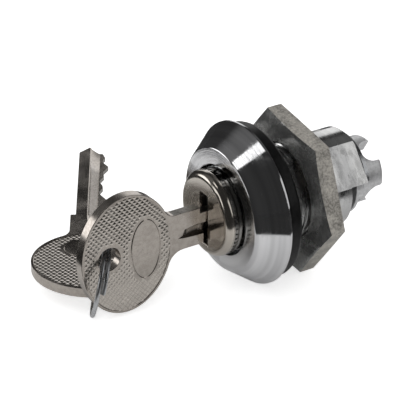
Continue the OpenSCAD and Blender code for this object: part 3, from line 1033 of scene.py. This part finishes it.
    def groove_cutters(self) -> list[Piece]:
        """Return the shapes that mill the blade's side groove, its run-out and the thin web."""
        face, floor = self.half_t, self.half_t - self.groove_depth
        top = face + 0.15
        points = [
            (0.0, -0.75, top), (0.0, -0.9, face), (0.0, -1.3, face - 0.35),
            (0.0, -2.8, floor), (0.0, -3.15, face), (0.0, -3.25, top),
        ]
        end = self.tip_u + 2
        groove = self.section("groove_cutter", points)
        with editing(groove):
            extrude(end, 0, 0)
        run_out = self.section("run_out_cutter", points)
        with editing(run_out):
            bpy.ops.mesh.spin(
                steps=20, angle=math.radians(self.run_out), axis=(0, 1, 0),
                center=mm(0, 0, floor + self.wheel_r),
            )
        # The sweep runs toward the tip, so it is mirrored to run out on the neck
        moved(run_out, Matrix.Diagonal((-1, 1, 1, 1)))
        return [
            closed(groove), closed(run_out),
            block("web_cutter", (self.web_from, -5.8, self.web_half), (end, -2.75, top)),
            block("web_cutter", (self.web_from, -5.8, -top), (end, -1.4, -self.web_half)),
        ]

    def studs(self) -> Piece:
        """Make the knurled studs of one side, on the key laid flat.

        Returns:
            Separate pyramids, with the bow's centre at the origin and their points up.
        """
        count = 2 * int(self.bow_b / self.stud_pitch) + 3
        deselect()
        bpy.ops.mesh.primitive_grid_add(
            x_subdivisions=count, y_subdivisions=count, size=count * self.stud_pitch * MM
        )
        piece = named("stud_field")
        moved(piece, Matrix.Diagonal((*self.stud_shape, 1, 1)) @ turn(45, "Z"))

        def is_outside(face: bmesh.types.BMFace) -> bool:
            """Tell whether a square of the grid is off the field."""
            middle = face.calc_center_median() / MM
            return not self.in_field(middle.x, middle.y)

        with editing(piece, select=False):
            select_faces(piece, is_outside)
            bpy.ops.mesh.delete(type="FACE")
        with editing(piece):
            bpy.ops.mesh.select_mode(type="FACE")
            bpy.ops.mesh.inset(thickness=self.stud_gap * MM, use_individual=True)
            bpy.ops.mesh.select_all(action="INVERT")
            bpy.ops.mesh.delete(type="FACE")
        with editing(piece):
            bpy.ops.mesh.poke(offset=self.stud_h * MM, use_relative_offset=False)
        return modified(piece, "SOLIDIFY", thickness=self.stud_base * MM, offset=-1)

    def oval_plaque(self) -> Piece:
        """Make the bare oval with its thin raised line, on the key laid flat."""
        deselect()
        bpy.ops.mesh.primitive_circle_add(
            vertices=80, radius=MM, fill_type="NGON", location=mm(self.oval_u, 0, -0.04)
        )
        piece = settle(named("oval_plaque"))
        size = (1.0, 1.0)
        with editing(piece):
            for lift, lines in ((0.05, 1), (self.field_depth, 0), (-0.08, -1)):
                grown = [half + lines * self.oval_line for half in (self.oval_a, self.oval_b)]
                extrude(0, 0, lift)
                bpy.ops.transform.resize(
                    value=(grown[0] / size[0], grown[1] / size[1], 1),
                    center_override=mm(self.oval_u, 0, 0),
                )
                size = grown
        return piece

    def bow_place(self, side: int) -> Matrix:
        """Return the place of one side of the front key's bow, which is laid flat when made.

        Args:
            side: -1 for the side that faces -Y, +1 for the other.

        Returns:
            The move from the bench to the key, up to the field's floor.
        """
        flip = turn(180, "X") if side > 0 else Matrix.Identity(4)
        floor = shift(0, 0, self.half_t - self.field_depth)
        return shift(self.shoulder_x + self.bow_u, 0, self.bow_v) @ turn(90, "X") @ flip @ floor

    def key(self, finishes: Finishes) -> Piece:
        """Make the key in the lock: milled blank, studs and bare ovals."""
        key = self.plate(finishes)
        trays = (self.tray_cutter(1), self.tray_cutter(-1))
        for cutter in (*trays, self.hole_cutter(), *self.groove_cutters()):
            combined(key, cutter, Cut.AWAY)
        smooth(moved(key, shift(self.shoulder_x, 0, 0) @ turn(90, "X")), 32)
        for side in (-1, 1):
            # The studs' lighter finish is a painted highlight
            for extra, finish in ((self.studs(), "key_studs_highlit"), (self.oval_plaque(), "key_nickel")):
                finishes.put(extra, finish)
                moved(extra, self.bow_place(side))
                joined(key, smooth(closed(extra), 12))
        return key

    def ring_place(self) -> Matrix:
        """Return the place of the split ring."""
        hole = Vector((self.shoulder_x + self.bow_u - self.hole_out, 0, self.bow_v))
        middle = hole + Vector(self.ring_from_hole) + self.ring_r * Vector(self.ring_hang)
        return shift(*middle) @ turn(self.ring_turn, "Z") @ turn(self.ring_lean, "Y")

    def ring(self) -> Piece:
        """Make the split ring from a round wire swept through its turns."""
        rise = self.ring_turns * self.ring_pitch
        deselect()
        bpy.ops.mesh.primitive_circle_add(
            vertices=16, radius=self.wire_r * MM, fill_type="NGON",
            location=mm(self.ring_r, 0, -rise / 2), rotation=(math.radians(90), 0, 0),
        )
        piece = settle(named("split_ring"))
        modified(
            piece, "SCREW", axis="Z", angle=2 * math.pi * self.ring_turns,
            screw_offset=rise * MM, iterations=1, steps=190, render_steps=190,
            use_normal_calculate=True,
        )
        return moved(closed(piece), self.ring_place() @ turn(self.ring_start, "Z"))

    def spare_place(self) -> Matrix:
        """Return the move that takes the front key to the spare key's place."""
        laid_flat = turn(-90, "X") @ shift(-self.shoulder_x, 0, 0)
        to_hole = shift(self.hole_out - self.bow_u, -self.bow_v, 0)
        hung = turn(self.spare_turn, "Z") @ turn(self.spare_tip, "Y")
        return shift(*self.spare_at) @ hung @ to_hole @ laid_flat

    def build(self, finishes: Finishes) -> None:
        """Make both keys and the ring, and put them in place of their nodes."""
        front = self.key(finishes)
        spare = moved(copied(front, "hanging_key"), self.spare_place())
        ring = smooth(self.ring(), 40)
        finishes.put(ring, "wire_steel")
        for piece, node, slot in (
            (front, "key", "warm_nickel"), (spare, "spare_key", "warm_nickel"),
            (ring, "key_ring", "spring_steel"),
        ):
            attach(piece, node)
            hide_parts(node)


@dataclass(frozen=True)
class Softbox:
    """Soft lamp, where a radiance of 1 is the white of the background; sizes in metres."""

    name: str
    toward: Point
    away: float
    size: Pair
    radiance: float

    def hang(self) -> None:
        """Hang the lamp so that it faces the lock."""
        direction = Vector(self.toward).normalized()
        data = bpy.data.lights.new(self.name, "AREA")
        data.shape = "RECTANGLE"
        data.size, data.size_y = self.size
        data.energy = self.radiance * math.pi * self.size[0] * self.size[1]
        lamp = bpy.data.objects.new(self.name, data)
        bpy.context.scene.collection.objects.link(lamp)
        lamp.location = direction * self.away
        lamp.rotation_euler = direction.to_track_quat("Z", "Y").to_euler()


@dataclass(frozen=True)
class Glow:
    """Soft round light patch in the room, seen in reflections only."""

    toward: Point
    edge: float
    core: float
    level: float

    def mask(self, tree: Tree, place: Socket) -> Socket:
        """Return its light, given the direction in which a ray looks."""
        facing = tree.add("VectorMath", {0: place, 1: self.toward}, operation="DOT_PRODUCT")
        return tree.ramp(facing.outputs["Value"], self.edge, self.core, 0.0, self.level)


@dataclass
class Studio:
    """Floor, lamps, world and camera."""

    floor_z: float
    focus: Point = (-0.0069, 0.00456, 0.00029)
    look: Point = (0.4716, 0.7443, -0.4729)
    right: Point = (0.8447, -0.5352, 0.0)
    distance: float = 0.5
    lens: float = 248.1
    room_tone: float = 0.035
    fill: float = 0.85
    floor_glow: float = 0.62
    paper: float = 0.82
    beyond: float = 0.035
    sheet_at: Pair = (8.0, 10.0)
    sheet_r: float = 0.0566
    sheet_edge: float = 0.0015
    lamps: tuple[Softbox, ...] = (
        Softbox("left_softbox", (-0.525, 0.19, 0.83), 0.609, (0.16, 0.12), 1.7),
        Softbox("right_softbox", (0.47, -0.75, 0.44), 0.6, (0.34, 0.42), 0.8),
    )
    glows: tuple[Glow, ...] = (
        Glow((-0.63, 0.762, 0.15), 0.955, 0.98, 2.0),
        Glow((-0.96, 0.23, 0.13), 0.94, 0.965, 1.3),
        Glow((0.47, 0.27, 0.84), 0.92, 0.98, 0.08),
        Glow((-0.42, 0.56, 0.71), 0.86, 0.99, 0.11),
    )

    def floor(self) -> None:
        """Lay a pale floor that keeps the lock's shadow and is dark to far reflections."""
        deselect()
        bpy.ops.mesh.primitive_plane_add(size=3.0, location=(0, 0, self.floor_z))
        floor = named("studio_floor")
        material = bpy.data.materials.new("floor_paper")
        material.use_nodes = True
        tree = Tree(material.node_tree)
        shader = tree.find("BSDF_PRINCIPLED")
        axes = tree.add("SeparateXYZ", {0: tree.add("TexCoord").outputs["Object"]}).outputs
        spot = tree.add("CombineXYZ", {0: axes[0], 1: axes[1]}).outputs[0]
        centre = mm(*self.sheet_at, 0)
        reach = tree.add("VectorMath", {0: spot, 1: centre}, operation="DISTANCE").outputs["Value"]
        path = tree.add("LightPath").outputs
        bare = tree.ramp(reach, self.sheet_r - self.sheet_edge, self.sheet_r + self.sheet_edge)
        dark = tree.math("MULTIPLY", bare, path["Is Glossy Ray"])
        colour = tree.mix(dark, (*[self.paper] * 3, 1), (*[self.beyond] * 3, 1))
        tree.link(colour, shader.inputs["Base Color"])
        shader.inputs["Roughness"].default_value = 0.9
        shader.inputs["Specular IOR Level"].default_value = 0.1
        glow = tree.add("Emission", {"Color": (1, 1, 1, 1), "Strength": self.floor_glow})
        both = tree.add("AddShader", {0: shader.outputs[0], 1: glow.outputs[0]})
        ways = {0: path["Is Camera Ray"], 1: shader.outputs[0], 2: both.outputs[0]}
        seen = tree.add("MixShader", ways)
        tree.link(seen.outputs[0], tree.find("OUTPUT_MATERIAL").inputs[0])
        floor.data.materials.append(material)
        floor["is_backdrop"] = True

    def world(self) -> None:
        """Set a white background, and a dark room with white patches for reflections."""
        world = bpy.data.worlds.new("studio_room")
        bpy.context.scene.world = world
        world.use_nodes = True
        tree = Tree(world.node_tree)
        background = tree.find("BACKGROUND")
        path = tree.add("LightPath").outputs
        place = tree.add("TexCoord").outputs["Generated"]
        x, y, z = tree.add("SeparateXYZ", {0: place}).outputs
        bearing = tree.math("ARCTAN2", y, x)
        right_part = tree.ramp(bearing, math.radians(5), math.radians(25))
        left_part = tree.ramp(bearing, math.radians(68), math.radians(80), 1.0, 0.0)
        under = tree.ramp(z, 0.46, 0.53, 1.0, 0.0)
        room = tree.math("MULTIPLY", tree.math("MULTIPLY", right_part, left_part), under)
        for glow in self.glows:
            room = tree.math("ADD", room, glow.mask(tree, place))
        room = tree.math("ADD", room, self.room_tone)
        shade = tree.mix(path["Is Diffuse Ray"], room, (*[self.fill] * 3, 1))
        shown = tree.mix(path["Is Camera Ray"], shade, (1, 1, 1, 1))
        tree.link(shown, background.inputs["Color"])
        background.inputs["Strength"].default_value = 1.0

    def camera(self) -> None:
        """Set the camera at the photograph's viewpoint."""
        look, right = Vector(self.look).normalized(), Vector(self.right).normalized()
        up = right.cross(look)
        data = bpy.data.cameras.new("photo_camera")
        data.lens = self.lens
        data.sensor_width = 36.0
        data.sensor_fit = "HORIZONTAL"
        data.clip_start = 0.01
        camera = bpy.data.objects.new("photo_camera", data)
        bpy.context.scene.collection.objects.link(camera)
        place = Vector(self.focus) - look * self.distance
        facing = Matrix((right, up, -look)).transposed().to_4x4()
        camera.matrix_world = Matrix.Translation(place) @ facing
        bpy.context.scene.camera = camera

    def build(self) -> None:
        """Build the studio round the lock."""
        self.floor()
        for lamp in self.lamps:
            lamp.hang()
        self.world()
        self.camera()
        bpy.context.scene.view_settings.view_transform = "Standard"


def main() -> None:
    """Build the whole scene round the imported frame."""
    logging.basicConfig(level=logging.INFO, format="%(name)s: %(message)s")
    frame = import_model()
    nodes = frame["nodes"]
    cad_low, cad_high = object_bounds()
    Studio(floor_z=cad_low[2]).build()
    finishes = Finishes(Effects().build()).build()
    for name, maker in (
        ("housing", Housing()),
        ("panel fixings", PanelFixings(nodes)),
        ("cylinder", Cylinder(nodes)),
        ("driver", Driver(nodes)),
        ("key set", KeySet(nodes)),
    ):
        maker.build(finishes)
        LOG.info("made the %s", name)


if __name__ == "__main__":
    main()
